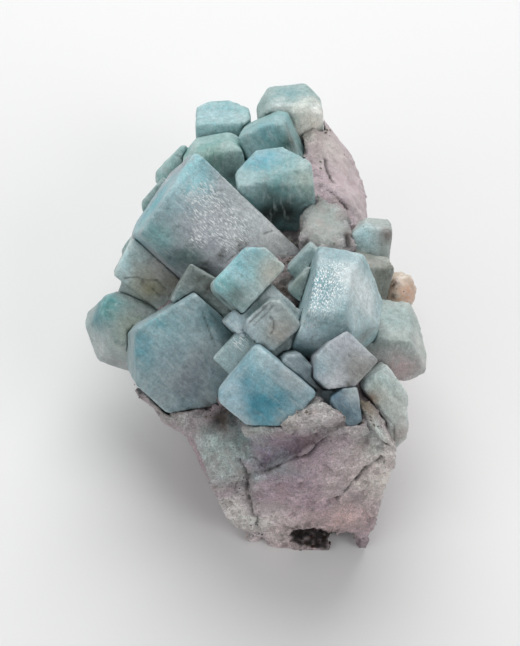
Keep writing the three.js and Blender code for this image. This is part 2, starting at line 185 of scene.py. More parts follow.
# where brown dirt is packed in between the crystals: the pixel and the reach in millimetres
DIRT = {
    "right of the front crystal": ((318, 388), 1.6), "behind the centre crystal": ((294, 305), 1.0),
    "between the centre slabs": ((284, 292), 1.6), "beside the inner slabs": ((276, 286), 1.3),
    "beside the gap": ((210, 290), 1.6), "above the gap": ((199, 283), 1.2),
    "foot of the large crystal": ((240, 245), 1.2), "foot, further left": ((222, 255), 1.2),
    "foot, left end": ((206, 266), 1.2), "below the bright crystal": ((284, 352), 1.2),
    "above the quartz": ((388, 272), 1.2), "behind the large crystal": ((290, 224), 1.2),
    "under the broad crystal": ((222, 416), 2.0), "under the front slab": ((210, 405), 1.2),
    "below the outer crystal": ((140, 280), 0.9), "beside the neck": ((302, 146), 1.0),
    "right of the upper right crystal": ((304, 206), 1.0), "right block's top": ((350, 385), 0.8),
}


def linear(code):
    """An sRGB hex colour as Blender's linear one."""
    parts = [int(code[i:i + 2], 16) / 255 for i in (1, 3, 5)]
    return [c / 12.92 if c < 0.04045 else ((c + 0.055) / 1.055) ** 2.4 for c in parts] + [1.0]


def fine_skin(name, grid, softening):
    """A CAD node's skin as small even faces, grid mm across, with its edges softened."""
    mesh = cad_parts[name].data.copy()
    shell = bmesh.new()
    shell.from_mesh(mesh)
    bmesh.ops.remove_doubles(shell, verts=shell.verts, dist=1e-7)
    shell.to_mesh(mesh)
    shell.free()
    piece = bpy.data.objects.new(name + "_skin", mesh)
    bpy.context.scene.collection.objects.link(piece)
    remesh = piece.modifiers.new("even grid", "REMESH")
    remesh.mode = "VOXEL"
    remesh.voxel_size = grid * MM
    soften = piece.modifiers.new("softened edges", "SMOOTH")
    soften.factor = 0.5
    soften.iterations = softening
    bpy.context.view_layer.update()
    fine = bpy.data.meshes.new_from_object(piece.evaluated_get(bpy.context.evaluated_depsgraph_get()))
    piece.modifiers.clear()
    piece.data = fine
    fine.shade_smooth()
    return piece


def points_of(piece):
    flat = np.empty(len(piece.data.vertices) * 3)
    piece.data.vertices.foreach_get("co", flat)
    return flat.reshape(-1, 3) / MM


def normals_of(piece):
    flat = np.empty(len(piece.data.vertices) * 3)
    piece.data.vertex_normals.foreach_get("vector", flat)
    return flat.reshape(-1, 3)


BLUR_ROUNDS = 3


def convexity(piece, points, normals):
    """How far each point stands out from the middle of its neighbours, in millimetres, a little blurred."""
    edges = np.empty(len(piece.data.edges) * 2, int)
    piece.data.edges.foreach_get("vertices", edges)
    a, b = edges.reshape(-1, 2).T
    total, count = np.zeros_like(points), np.zeros(len(points))
    for p, q in ((a, b), (b, a)):
        np.add.at(total, p, points[q])
        np.add.at(count, p, 1)
    bulge = ((points - total / count[:, None]) * normals).sum(1)
    for _ in range(BLUR_ROUNDS):
        spread = np.zeros(len(points))
        for p, q in ((a, b), (b, a)):
            np.add.at(spread, p, bulge[q])
        bulge = (bulge + spread / count) / 2
    return bulge


# each seed looks at its own part of the noise, this far from the one before
CLOUD_STRIDE, FACET_STRIDE = (17.3, 5.1, 9.7), (11.9, 3.7, 7.3)
# how a facet's own number gives its tilt and its height, and how steep the tilt is
TILT_STRIDE, HEIGHT_STRIDE, STEEPNESS = 5.3, 2.1, 2
# noise_vector, which tilts the facets, starts from the clock unless it is given a seed
TILT_SEED = 1
noise.seed_set(TILT_SEED)


def cloud(points, size, seed):
    """A smooth random value, about -1 to 1, at each point, in lumps of the given size in millimetres."""
    shift = Vector([seed * stride for stride in CLOUD_STRIDE])
    scale = 1 / np.broadcast_to(size, 3)
    return np.array([noise.noise(Vector(point) + shift) for point in points * scale])


def facets(points, size, seed):
    """A broken surface's height, about -1 to 1: flat facets of the given size, each tilted its own way."""
    shift = Vector([seed * stride for stride in FACET_STRIDE])
    heights = np.empty(len(points))
    for i, point in enumerate(points / size):
        spot = Vector(point) + shift
        middle = noise.voronoi(spot)[1][0]
        tilt = noise.noise_vector(middle * TILT_STRIDE)
        heights[i] = STEEPNESS * tilt.dot(spot - middle) + noise.noise(middle * HEIGHT_STRIDE)
    return heights


def fade(value, start, end):
    """0 before start and 1 after end, smooth between."""
    t = np.clip((value - start) / (end - start), 0, 1)
    return t * t * (3 - 2 * t)


# a neighbour further away than this, in millimetres, counts as this far
GAP_SEEN = 5.0


def gap_to(points, names):
    """How far each point is from the nearest of the named CAD nodes, in millimetres."""
    tree = BVHTree.FromPolygons(*corners_and_faces(names))
    found = (tree.find_nearest(Vector(point), GAP_SEEN)[3] for point in points)
    return np.array([GAP_SEEN if distance is None else distance for distance in found])


def line_gap(points, line):
    """How far each point is from a line through the places that the photograph shows at its pixels."""
    places = [seen_at(*pixel) for pixel in line]
    nearest = np.full(len(points), np.inf)
    for start, end in zip(places, places[1:]):
        run = end - start
        t = np.clip((points - start) @ run / (run @ run), 0, 1)
        nearest = np.minimum(nearest, np.linalg.norm(points - start - t[:, None] * run, axis=1))
    return nearest


def near(points, patches):
    """How much each point belongs to any of some patches, each given by its pixel and its reach."""
    share = np.zeros(len(points))
    for pixel, reach in patches:
        away = np.linalg.norm(points - seen_at(*pixel), axis=1)
        share = np.maximum(share, np.exp(-((away / reach) ** 2)))
    return share


RAGGED_PATCH = 0.45


def zoned(points, ground, patches):
    """Each point's colour: the ground colour, turned to each patch's colour round the place it is seen at."""
    colour = np.tile(linear(ground)[:3], (len(points), 1))
    warp = 1 + RAGGED_PATCH * cloud(points, size=2.6, seed=31)
    for pixel, reach, code in patches.values():
        away = np.linalg.norm(points - seen_at(*pixel), axis=1) * warp
        share = np.exp(-((away / reach) ** 2))[:, None]
        colour = colour * (1 - share) + np.array(linear(code)[:3]) * share
    return colour


def keep(piece, name, values):
    """Stores one value, colour or vector for each point of a piece."""
    values = np.asarray(values, dtype=np.float32)
    kind = "FLOAT" if values.ndim == 1 else "FLOAT_VECTOR"
    stored = piece.data.attributes.new(name, kind, "POINT")
    stored.data.foreach_set("value" if values.ndim == 1 else "vector", values.ravel())


def place(piece, points):
    """Moves a piece's points, in millimetres, no further out than the CAD model's own box."""
    low, high = (np.array(corner) / MM for corner in cad_box)
    inside = np.clip(points, low, high)
    piece.data.vertices.foreach_set("co", (inside * MM).ravel())
    piece.data.update()


def finish_piece(piece, material, node=None):
    piece.data.materials.clear()
    piece.data.materials.append(material)
    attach(piece, "root")
    if node:
        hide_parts(node)


def add(material, kind, inputs, **settings):
    """Adds a node: settings are its properties, and each input gets a value or another node's output."""
    made = material.node_tree.nodes.new("ShaderNode" + kind)
    for name, value in settings.items():
        setattr(made, name, value)
    for name, value in inputs.items():
        if isinstance(value, bpy.types.NodeSocket):
            material.node_tree.links.new(value, made.inputs[name])
        else:
            made.inputs[name].default_value = value
    return made


def blank(name):
    """A new material with no nodes but its output and a Principled shader, and those two."""
    material = bpy.data.materials.new(name)
    material.use_nodes = True
    return material, material.node_tree.nodes["Principled BSDF"]


crystal_names = [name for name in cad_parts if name.startswith("crystal")]

rock = fine_skin("matrix", ROCK_GRID, ROCK_SOFTENING)
points, normals = points_of(rock), normals_of(rock)
bulge = convexity(rock, points, normals)
near_crystal = gap_to(points, crystal_names)
smooth = 0.85 * near(points, SMOOTH.values())
broken = 1 - 0.75 * smooth
relief = broken * (
    COARSE_BREAK * facets(points, size=2.8, seed=1)
    + FINE_BREAK * facets(points, size=1.2, seed=2)
    + LUMP * cloud(points, size=0.8, seed=3)
)
relief += smooth * FLANK_RIPPLE * cloud(points @ np.array(RIPPLE_TURN), size=RIPPLE_SIZE, seed=4)
relief -= PIT * broken * fade(cloud(points, size=1.6, seed=5), start=0.35, end=0.6)
relief -= SEAM_GROOVE * np.exp(-near_crystal / GROOVE_REACH)
# the sides and the back, which the photograph doesn't show, are broken more coarsely
unseen = fade(normals @ np.array(sight), start=-0.1, end=0.35) * fade(near_crystal, start=0.5, end=2.5)
relief += unseen * (
    SIDE_BREAK * facets(points, size=7, seed=9)
    + SIDE_FINE_BREAK * facets(points, size=3.5, seed=10)
    - SIDE_SET_BACK
)
crack = np.zeros(len(points))
for line, depth, width in ROCK_CRACKS.values():
    gap = line_gap(points, line) + CRACK_STRAYS * cloud(points, size=1.5, seed=6)
    share = np.exp(-((gap / width) ** 2))
    relief -= depth * share
    crack = np.maximum(crack, share)
relief[points[:, 2] < FLAT_BASE] = 0
place(rock, points + normals * relief[:, None])
# how far each point is from the middle of the hollow and of the notch, with 1 at their ragged rims
ragged = RAGGED_RIM * cloud(points, size=0.9, seed=44)
to_hollow = np.linalg.norm((points - HOLLOW) / HOLLOW_SIZE, axis=1) + ragged
to_notch = np.linalg.norm((points - NOTCH) / NOTCH_SIZE, axis=1) + ragged
in_hollow = 1 - fade(to_hollow, start=0.95, end=1.1)
# the sides turn green in places, in patches 9 mm wide and 5 mm high
green = 0.75 * unseen * fade(cloud(points, size=(9, 9, 5), seed=70), start=0.0, end=0.45)
tint = zoned(points, ROCK_GROUND, ROCK_PATCHES)
keep(rock, "tint", tint + green[:, None] * (np.array(linear(ROCK_GREEN)[:3]) - tint))
keep(rock, "smooth", smooth)
keep(rock, "wear", fade(bulge, *WORN_EDGE))
packed = np.maximum(np.exp(-near_crystal / DIRT_REACH), 1.2 * near(points, DIRT.values()))
for distance, start, end in ((to_hollow, 1.1, 1.7), (to_notch, 1.05, 1.3)):
    packed = np.maximum(packed, 1 - fade(distance, start, end))
keep(rock, "grime", np.maximum(0.5 * fade(-bulge, *DIRTY_DENT), packed))
# the crack colour also paints the whole hollow near black, painted shade inside it, and the crevices' painted
# shade
keep(rock, "crack", np.maximum(0.92 * crack, in_hollow))

# Coarse feldspar rock with a broken, granular face: grains about 0.6 mm across, each a little lighter or
# darker, fine pale and mauve specks, iron stains along the cracks, and a dull surface with glints. The
# patterns go by the millimetre: grains 0.6 mm across, specks 0.3 mm, breaks 2 mm, and soft clouds of 3 mm.
GRAINS_PER_MM, SPECKS_PER_MM, BREAKS_PER_MM, CLOUDS_PER_MM = 1.7, 3.6, 0.5, 0.35
STAINS_PER_MM = 0.8
# soft blushes of 2 mm and pale spots of 0.6 mm: how many to the millimetre, their detail, the noise's value
# where they start and where they are full, how much they cover, and their colour
SPOTS = ((0.5, 3.0, 0.45, 0.68, 0.35, "#b7a09d"), (1.6, 4.0, 0.57, 0.7, 0.5, "#cbc8c5"))
rock_matter, shader = blank("broken_feldspar_rock")
place_mm = add(rock_matter, "VectorMath", {
    0: add(rock_matter, "TexCoord", {}).outputs["Object"],
    "Scale": 1 / MM,
}, operation="SCALE").outputs[0]
tint = add(rock_matter, "Attribute", {}, attribute_name="tint").outputs["Color"]
grime, wear, crack_line, smooth_here = (
    add(rock_matter, "Attribute", {}, attribute_name=name).outputs["Fac"]
    for name in ("grime", "wear", "crack", "smooth")
)
bend = add(rock_matter, "TexNoise", {"Vector": place_mm, "Scale": 1.3, "Detail": 2.0}).outputs["Color"]
bent = add(rock_matter, "VectorMath", {0: bend, 1: place_mm}, operation="ADD").outputs[0]
grains = add(rock_matter, "TexVoronoi", {"Vector": bent, "Scale": GRAINS_PER_MM})
speck = add(rock_matter, "TexNoise", {
    "Vector": place_mm, "Scale": SPECKS_PER_MM, "Detail": 5.0, "Roughness": 0.75,
})
clouds = add(rock_matter, "TexNoise", {"Vector": place_mm, "Scale": CLOUDS_PER_MM, "Detail": 4.0})
cloud_shade = add(rock_matter, "MapRange", {
    "Value": clouds.outputs["Fac"], "From Min": 0.3, "From Max": 0.7, "To Min": 0.86, "To Max": 1.14,
}).outputs[0]
breaks = add(rock_matter, "TexVoronoi", {"Vector": bent, "Scale": BREAKS_PER_MM})
shade = 1.0
for source, start, end, darkest, lightest in (
    (grains.outputs["Color"], 0.0, 1.0, 0.72, 1.28),
    (speck.outputs["Fac"], 0.3, 0.7, 0.5, 1.5),
    (breaks.outputs["Color"], 0.0, 1.0, 0.84, 1.16),
):
    one_shade = add(rock_matter, "MapRange", {
        "Value": source, "From Min": start, "From Max": end, "To Min": darkest, "To Max": lightest,
    }).outputs[0]
    shade = add(rock_matter, "Math", {0: shade, 1: one_shade}, operation="MULTIPLY").outputs[0]
shade = add(rock_matter, "Mix", {0: smooth_here, 2: shade, 3: 1.0}, data_type="FLOAT").outputs[0]
shade = add(rock_matter, "Math", {0: shade, 1: cloud_shade}, operation="MULTIPLY").outputs[0]
roughened = add(rock_matter, "MapRange", {"Value": smooth_here, "To Min": 0.75, "To Max": 0.2}).outputs[0]
body = add(rock_matter, "VectorMath", {0: tint, "Scale": shade}, operation="SCALE").outputs[0]
for per_mm, detail, start, end, most, code in SPOTS:
    spots = add(rock_matter, "TexNoise", {"Vector": place_mm, "Scale": per_mm, "Detail": detail})
    share = add(rock_matter, "MapRange", {
        "Value": spots.outputs["Fac"], "From Min": start, "From Max": end, "To Min": 0.0, "To Max": most,
    }).outputs[0]
    body = add(rock_matter, "Mix", {0: share, 6: body, 7: linear(code)}, data_type="RGBA").outputs[2]
stains = add(rock_matter, "TexNoise", {"Vector": place_mm, "Scale": STAINS_PER_MM, "Detail": 4.0})
stain = add(rock_matter, "MapRange", {
    "Value": stains.outputs["Fac"], "From Min": 0.42, "From Max": 0.62, "To Min": 0.15, "To Max": 1.0,
}).outputs[0]
stain = add(rock_matter, "Math", {0: stain, 1: grime}, operation="MULTIPLY").outputs[0]
# iron stains in the dirt, edges worn pale, and dark cracks, which also carry the painted shade of the
# crevices and the hollow: how much each covers, and its colour
for share, most, code in ((stain, 0.9, "#4a4036"), (wear, 0.3, "#d2cfcb"), (crack_line, 0.98, "#170c0a")):
    share = add(rock_matter, "Math", {0: share, 1: most}, operation="MULTIPLY").outputs[0]
    body = add(rock_matter, "Mix", {0: share, 6: body, 7: linear(code)}, data_type="RGBA").outputs[2]
rough = add(rock_matter, "MapRange", {
    "Value": grains.outputs["Color"], "From Min": 0.15, "From Max": 0.8, "To Min": 0.36, "To Max": 0.8,
}).outputs[0]
grain_bump = add(rock_matter, "Bump", {
    "Height": grains.outputs["Distance"], "Distance": 0.3 * MM, "Strength": roughened,
}).outputs[0]
speck_bump = add(rock_matter, "Bump", {
    "Height": speck.outputs["Fac"], "Distance": 0.6 * MM, "Strength": roughened, "Normal": grain_bump,
}).outputs[0]
for name, source in (("Base Color", body), ("Roughness", rough), ("Normal", speck_bump)):
    rock_matter.node_tree.links.new(source, shader.inputs[name])
shader.inputs["IOR"].default_value = 1.53
finish_piece(rock, rock_matter, "matrix")

# The amazonite crystals: blocky blue-green potassium feldspar, a few to 28 mm long. Their faces are a
# little wavy, cleaved in shallow steps, with softened, chipped edges. The colour runs from deep turquoise
# to grey and pale green within one crystal, with white wisps of a second feldspar.
CRYSTAL_GRID = 0.24  # how fine a crystal's faces are, in millimetres
# the face of the rock that the crystals grew on, which looks straight at the camera
GROWTH_FACE = np.array([
    (1, 0, 0),
    (0, math.sin(LOOK_DOWN), math.cos(LOOK_DOWN)),
    (0, -math.cos(LOOK_DOWN), math.sin(LOOK_DOWN)),
])
# how many rounds of softening the edges get: few on the crisp crystals in front, more on the worn ones
# behind them, most at the far end
CRISP, WORN, ROUND = 2, 7, 36
# a crystal's relief, in millimetres: how far its skin stands off the CAD shape, the long waves, the ripples,
# the cleavage steps, how much higher they are where it broke and how many, the chips, the pits and the cracks
STAND_OFF, WAVE, RIPPLE = 0.12, 0.1, 0.05
STEP, BROKEN_STEP, STEP_COUNT = 0.1, 0.15, 2.6
COARSE_CHIP, FINE_CHIP = 0.22, 0.08
EDGE_CHIP, EDGE_NICK = 0.3, 0.15
CRYSTAL_PIT, CRACK_DEPTH, CRACK_WIDTH = 0.12, 0.1, 0.12
# how far a point stands out of its neighbours where an edge starts, and where it is full
CRYSTAL_EDGE = (0.007, 0.035)
# how far dirt reaches out of a seam between two crystals, in millimetres
SEAM_REACH = 0.35
# each crystal: how it points (angle in the growth face, lift out of it and roll, in degrees), how soft its
# edges are, how broken its faces are from 0 to 1, its ground colour, and its patches as on the rock, with
# painted light and painted shade among them as marked
CRYSTALS = {
    "crystal_front": ((141, 3, -2), CRISP, 0, "#a3bec6", {
        "turquoise heart": ((262, 394), 4.6, "#04758a"), "heart, top": ((266, 380), 1.9, "#3f9cb0"),
        "heart, right": ((274, 388), 1.6, "#549fb0"), "upper end": ((262, 358), 3, "#b4d2d9"),
        "right end": ((292, 374), 3.5, "#a3b1b5"), "left band": ((234, 396), 2.2, "#a6c4cf"),
        "foot": ((270, 408), 1.6, "#5d96a6"),
    }),
    "crystal_centre": ((137, 3, 8), CRISP, 0, "#b0bfbc", {
        "blue side": ((236, 272), 4, "#a5e0e8"), "left corner": ((222, 285), 2.2, "#9fd0d3"),
        "top": ((250, 255), 3, "#9cc7ce"), "grey side": ((272, 274), 3, "#c6c8c0"),
        # the lower side and the dark foot: painted shade on the side that faces down into the crevice
        "lower side": ((224, 299), 1.8, "#4d605e"), "dark foot": ((238, 296), 2.2, "#6f8482"),
    }),
    "crystal_bright": ((78, 55, 0), CRISP, 0, "#adc6c9", {
        "end": ((330, 255), 3, "#8caeb6"), "facet": ((325, 290), 4, "#7aa2ab"),
        "right side": ((365, 300), 4, "#dbe6e8"), "right side, edge": ((352, 285), 2, "#cfdcde"),
        # the foot's two patches are painted lighter: painted light on a face that the lamps leave in shade
        "foot": ((305, 335), 4, "#c9dfe3"), "foot, left": ((296, 350), 2.2, "#a9c4ca"),
        # the underside and the part below the facet are painted darker: painted shade on faces that turn down
        "underside": ((362, 338), 2.4, "#8f9a99"),
        "below the facet": ((340, 320), 2, "#8ea9ad"),
    }),
    "crystal_left_front": ((138, 6, 0), CRISP, 0, "#93a9ad", {
        "blue edge": ((147, 345), 3, "#659fac"), "middle": ((180, 330), 5, "#a5bdc2"),
        "blue edge, top": ((158, 325), 2, "#7fb0b8"), "right part": ((205, 365), 3.5, "#8c9ba0"),
        "foot": ((190, 385), 4, "#87939a"), "cleaved corner": ((208, 322), 2.5, "#6d8b90"),
    }),
    "crystal_left_outer": ((160, 18, 25), WORN, 0, "#aebbb9", {
        "blue spot": ((98, 315), 3.6, "#12808b"), "blue spot, right": ((112, 305), 2, "#79b2b3"),
        "green side": ((130, 330), 3, "#a3b09f"), "pale foot": ((100, 350), 3, "#c3cccb"),
        "foot": ((118, 362), 3, "#9fa6a5"),
    }),
    "crystal_large": ((137, 13, 11), WORN, 0, "#adb3b8", {
        "blue end": ((155, 205), 5, "#6fb4bd"), "blue end, top": ((188, 172), 4, "#82c3cb"),
        # the lower left, its foot and the dark strip: painted shade on the side of the crystal that faces
        # down
        "blue end, foot": ((142, 225), 2.5, "#8cbabe"), "lower left": ((160, 238), 3.5, "#7fabab"),
        "lower left, foot": ((176, 260), 2.2, "#4d6a69"), "middle": ((215, 240), 6, "#aeb2ba"),
        "right end": ((262, 215), 6, "#cdd4d5"), "foot": ((280, 240), 4, "#cdcfce"),
        "upper edge": ((192, 182), 2.5, "#a9dbe2"),
        # painted shade on the lower left side
        "dark strip": ((190, 257), 2, "#657b79"),
    }),
    "crystal_upper_right": ((98, 44, 0), WORN, 0, "#8fb5b7", {
        "blue top": ((262, 160), 3, "#86b9c6"), "front": ((272, 190), 3, "#7ba3a3"),
        # the dark foot's two patches are near black: painted shade in the deep crevice below the crystal
        "dark foot": ((268, 212), 3.6, "#293634"), "dark foot, right": ((288, 212), 3.2, "#232c2a"),
        "pale corner": ((305, 180), 2.5, "#b4c3bc"), "left corner": ((240, 190), 2, "#9cbfc0"),
    }),
    "crystal_front_right": ((137, 2, 5), CRISP, 0.12, "#c0c5cb", {
        "end": ((320, 362), 2.5, "#a9bdc3"), "stained side": ((362, 372), 3, "#979793"),
        "right corner": ((372, 366), 1.6, "#8c8c88"),
    }),
    "crystal_front_slab": ((136, 4, 0), CRISP, 0, "#a9bfc0", {
        "top": ((236, 345), 2.5, "#b4cacc"), "left end": ((220, 358), 1.8, "#b9cfd0"),
    }),
    "crystal_front_wedge": ((135, 8, 0), CRISP, 0.15, "#9dabb0", {}),
    "crystal_front_small": ((125, 3, 0), CRISP, 0.15, "#7a8f99", {
        "end": ((340, 400), 2, "#6c8898"), "right side": ((354, 390), 1.8, "#a9b8bc"),
    }),
    "crystals_centre_slabs": ((134, 6, 0), CRISP, 0.35, "#bccacd", {
        "right block": ((285, 312), 3, "#bdc5c3"), "left block": ((236, 318), 2.6, "#cfe3e8"),
        "grooved part": ((262, 306), 2, "#74898a"), "right foot": ((282, 335), 2.4, "#a8a39b"),
    }),
    "crystals_inner_slabs": ((137, 5, -8), CRISP, 0.12, "#a9bbba", {
        "upper bar": ((303, 258), 2.4, "#a3bdbf"), "lower bar": ((302, 282), 2.4, "#b4c1bb"),
    }),
    "crystal_left_gap": ((150, 5, 0), CRISP, 0.12, "#8b9692", {"lower end": ((180, 297), 1.6, "#8fa3a3")}),
    "crystals_left_back": ((142, 8, 0), WORN, 0.2, "#a9b6b3", {
        # the end is painted paler: painted light on a face that turns left, away from the lamps
        "end": ((127, 258), 4, "#d5eef0"), "right part": ((160, 268), 3.5, "#b5b3b0"),
        "foot": ((172, 282), 2.4, "#8b8a82"), "stained ledge": ((148, 286), 2.4, "#a9a68f"),
    }),
    "crystal_right": ((82, 35, 0), WORN, 0.2, "#b9c4c0", {
        "top": ((395, 318), 3.5, "#9db2af"), "left side": ((368, 342), 2.5, "#96a29f"),
        "pink foot": ((400, 368), 3.4, "#c9b4b5"), "right edge": ((420, 345), 2.4, "#c0c6c0"),
    }),
    "crystals_right_low": ((120, 5, 0), CRISP, 0.4, "#cfd8d4", {
        "end": ((378, 388), 2.5, "#d6ebe7"), "middle": ((398, 405), 2.5, "#d6dcd7"),
        "foot": ((402, 435), 2, "#b9b3ae"), "stained side": ((372, 398), 1.5, "#b09f8b"),
    }),
    "crystal_back_right": ((85, 20, 0), WORN, 0.4, "#aeb7b3", {
        "middle": ((365, 236), 2.2, "#bfdde1"), "right edge": ((388, 235), 1.5, "#8c8580"),
    }),
    "crystal_right_back": ((80, 30, 15), WORN, 0.4, "#999b93", {"tip": ((385, 255), 2, "#cfd3cb")}),
    "crystal_top_centre": ((116, 18, -18), ROUND, 0, "#92b4b4", {
        "end": ((265, 125), 3, "#86b5bb"), "side": ((285, 118), 2, "#8fb9bd"),
        # the right side is painted dark: painted shade on the side that turns away from the light
        "right side": ((291, 142), 2.2, "#42564f"),
    }),
    "crystal_top_right": ((95, 35, 0), ROUND, 0, "#a5bab6", {
        # the front is painted near white: painted light on a face that turns away from the lamps
        "end": ((290, 95), 4, "#87adb0"), "front": ((310, 125), 4.5, "#f9f4ea"),
    }),
    "crystal_top_left": ((92, 35, 0), ROUND, 0, "#a1c2c3", {"end": ((215, 112), 4, "#95c0c6")}),
    "crystal_top_side": ((100, 25, 0), ROUND, 0, "#9fc0bd", {
        "front": ((215, 158), 3, "#7da298"), "dark foot": ((232, 175), 2, "#5b7772"),
    }),
    "crystal_back_left_top": ((135, 10, 0), WORN, 0.2, "#92b5b3", {}),
    "crystal_back_left_mid": ((140, 5, 0), WORN, 0.2, "#97b4b2", {}),
    "crystal_back_left_low": ((145, 3, 0), WORN, 0.2, "#9bb5b3", {}),
}
# thin dark cracks in the crystals: the pixels along each
CRACKS = {
    "right centre slab": [(270, 317), (273, 320), (274, 328), (271, 334)],
    "right centre slab, side": [(287, 298), (296, 308)],
    "grooves": [(250, 322), (266, 306)],
    "grooves, upper": [(256, 317), (270, 302)],
    "grooves, lower": [(254, 325), (267, 313), (273, 306)],
    "cleaved corner": [(200, 298), (202, 311), (209, 330), (215, 345)],
    "foot of the large crystal": [(204, 276), (214, 268), (226, 262), (238, 252), (246, 246)],
    "left back": [(125, 278), (138, 277), (144, 280), (157, 280), (166, 289)],
    "left back, lower": [(153, 289), (160, 296), (166, 304)],
    "large crystal, right end": [(263, 234), (272, 231), (282, 229), (288, 231)],
    "right low crystals": [(366, 397), (369, 411)],
    "right low crystals, side": [(380, 411), (394, 425), (394, 441)],
    "dot on the centre crystal": [(241.5, 275.5), (242.5, 276.5)],
}
# where cleaved flakes glint, painted white as well as made smoother: partly white cleavage flaws, partly a
# painted highlight. The pixel and the reach in millimetres
FLAWS_AND_PAINTED_GLINTS = {
    "large crystal, top": ((203, 200), 3.0), "large crystal, middle": ((215, 216), 3.6),
    "large crystal, right": ((232, 228), 3.0), "large crystal, left": ((199, 236), 1.6),
    "large crystal, low": ((228, 243), 1.4),
    "bright crystal, top": ((334, 270), 2.4), "bright crystal, middle": ((326, 284), 3.2),
    "bright crystal, foot": ((317, 300), 2.4), "front slab": ((240, 341), 1.2),
    "below the bright crystal": ((309, 324), 1.0),
}


def grown_axes(angle, lift, roll):
    """A crystal's own directions in the part's frame: across its thickness, across its width and along it."""
    turn, lift, roll = (math.radians(value) for value in (angle, lift, roll))
    along = Vector((math.cos(lift) * math.cos(turn), math.cos(lift) * math.sin(turn), math.sin(lift)))
    upper = Vector((-math.sin(lift) * math.cos(turn), -math.sin(lift) * math.sin(turn), math.cos(lift)))
    across = along.cross(upper)
    upper = upper * math.cos(roll) + across * -math.sin(roll)
    return np.array([upper, along.cross(upper), along]) @ GROWTH_FACE


# Amazonite, a blue-green feldspar, with cleaved and grown faces: a satin surface, colour in soft clouds,
# mottled and faintly striped along the crystal, pale wisps where it isn't deep blue, dirt in the seams, edges
# worn pale, and flakes painted white where they glint, partly white cleavage flaws and partly a painted
# highlight. Its patterns go by the millimetre of the crystal's own directions.
CLOUDS_PER_MM, MOTTLES_PER_MM, WISPS_PER_MM, GRIT_PER_MM, DIRT_PER_MM = 0.22, 1.1, 0.8, 4.2, 0.9
STRIPES_PER_MM, WISP_SHAPE, STREAKS_PER_MM = (2.2, 2.2, 0.22), (0.9, 1.6, 0.5), (2.8, 5.8, 1.4)
amazonite, shader = blank("cleaved_amazonite")
grown = add(amazonite, "Attribute", {}, attribute_name="grown").outputs["Vector"]
tint = add(amazonite, "Attribute", {}, attribute_name="tint").outputs["Color"]
grime, wear, flaw_and_painted_glint, crack_line = (
    add(amazonite, "Attribute", {}, attribute_name=name).outputs["Fac"]
    for name in ("grime", "wear", "flaw_and_painted_glint", "crack")
)
clouds = add(amazonite, "TexNoise", {
    "Vector": grown, "Scale": CLOUDS_PER_MM, "Detail": 4.0, "Roughness": 0.6,
})
cloudy = add(amazonite, "MapRange", {
    "Value": clouds.outputs["Fac"], "From Min": 0.36, "From Max": 0.64, "To Min": 0.0, "To Max": 1.0,
}).outputs[0]
deep = add(amazonite, "HueSaturation", {"Saturation": 1.3, "Value": 0.88, "Color": tint}).outputs[0]
pale = add(amazonite, "HueSaturation", {"Saturation": 0.8, "Value": 1.1, "Color": tint}).outputs[0]
body = add(amazonite, "Mix", {0: cloudy, 6: deep, 7: pale}, data_type="RGBA").outputs[2]
mottle = add(amazonite, "TexNoise", {
    "Vector": grown, "Scale": MOTTLES_PER_MM, "Detail": 6.0, "Roughness": 0.7,
})
mottle_shade = add(amazonite, "MapRange", {
    "Value": mottle.outputs["Fac"], "From Min": 0.3, "From Max": 0.7, "To Min": 0.74, "To Max": 1.26,
}).outputs[0]
body = add(amazonite, "VectorMath", {0: body, "Scale": mottle_shade}, operation="SCALE").outputs[0]
stripe_place = add(amazonite, "VectorMath", {0: grown, 1: STRIPES_PER_MM}, operation="MULTIPLY").outputs[0]
stripes = add(amazonite, "TexNoise", {"Vector": stripe_place, "Scale": 1.0, "Detail": 3.0, "Roughness": 0.6})
stripe_shade = add(amazonite, "MapRange", {
    "Value": stripes.outputs["Fac"], "From Min": 0.34, "From Max": 0.66, "To Min": 0.945, "To Max": 1.055,
}).outputs[0]
body = add(amazonite, "VectorMath", {0: body, "Scale": stripe_shade}, operation="SCALE").outputs[0]
wisp_place = add(amazonite, "VectorMath", {0: grown, 1: WISP_SHAPE}, operation="MULTIPLY").outputs[0]
wisps = add(amazonite, "TexNoise", {"Vector": wisp_place, "Scale": WISPS_PER_MM, "Detail": 5.0})
wisps = add(amazonite, "MapRange", {
    "Value": wisps.outputs["Fac"], "From Min": 0.55, "From Max": 0.75, "To Min": 0.0, "To Max": 0.45,
}).outputs[0]
depth_of_colour = add(amazonite, "SeparateColor", {"Color": tint}, mode="HSV").outputs[1]
clear = add(amazonite, "MapRange", {
    "Value": depth_of_colour, "From Min": 0.45, "From Max": 0.8, "To Min": 1.0, "To Max": 0.05,
}).outputs[0]
wisps = add(amazonite, "Math", {0: wisps, 1: clear}, operation="MULTIPLY").outputs[0]
body = add(amazonite, "Mix", {0: wisps, 6: body, 7: linear("#c3cecd")}, data_type="RGBA").outputs[2]
grit = add(amazonite, "TexNoise", {"Vector": grown, "Scale": GRIT_PER_MM, "Detail": 3.0, "Roughness": 0.6})
grit_shade = add(amazonite, "MapRange", {
    "Value": grit.outputs["Fac"], "From Min": 0.3, "From Max": 0.7, "To Min": 0.84, "To Max": 1.16,
}).outputs[0]
body = add(amazonite, "VectorMath", {0: body, "Scale": grit_shade}, operation="SCALE").outputs[0]
dirt_break = add(amazonite, "TexNoise", {"Vector": grown, "Scale": DIRT_PER_MM, "Detail": 4.0})
dirt_break = add(amazonite, "MapRange", {
    "Value": dirt_break.outputs["Fac"], "From Min": 0.38, "From Max": 0.6, "To Min": 0.1, "To Max": 0.85,
}).outputs[0]
dirt = add(amazonite, "Math", {0: dirt_break, 1: grime}, operation="MULTIPLY").outputs[0]
body = add(amazonite, "Mix", {0: dirt, 6: body, 7: linear("#423b31")}, data_type="RGBA").outputs[2]
